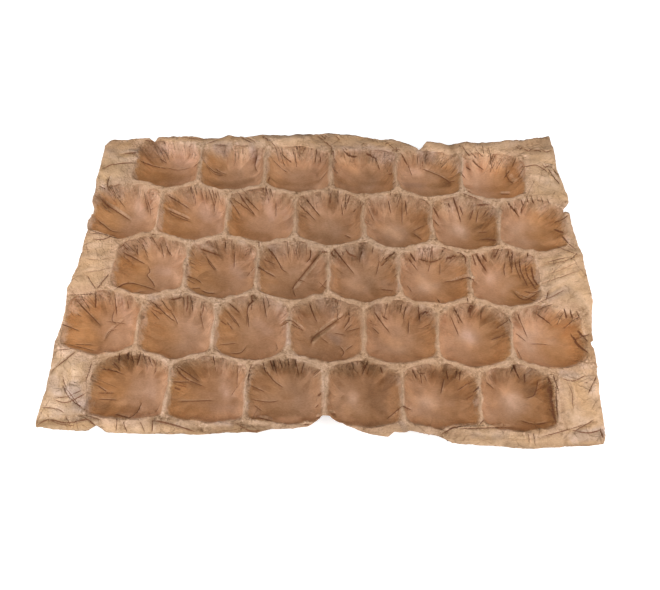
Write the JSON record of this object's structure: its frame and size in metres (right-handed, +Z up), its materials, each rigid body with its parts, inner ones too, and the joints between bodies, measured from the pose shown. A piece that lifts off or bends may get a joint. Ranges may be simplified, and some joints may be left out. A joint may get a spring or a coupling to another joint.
{
  "type": "apple tray",
  "caption": "Formed kraft paper tray: a thin sheet pressed into staggered rows of round gathered pockets between light ridges, with crumpled margins and torn edges, for fruit in a carton.",
  "frame": {"origin": "centre of the tray's footprint, on the flat bases of the pockets", "axes": "+X along the pocket rows, the tray's long side; +Y towards the back row; +Z up, out of the pockets' mouths"},
  "size_m": [0.5048, 0.3386, 0.0276],
  "materials": {
    "kraft_paper": "matte"
  },
  "bodies": {
    "root": {"apple_tray": "kraft_paper"}
  },
  "joints": []
}
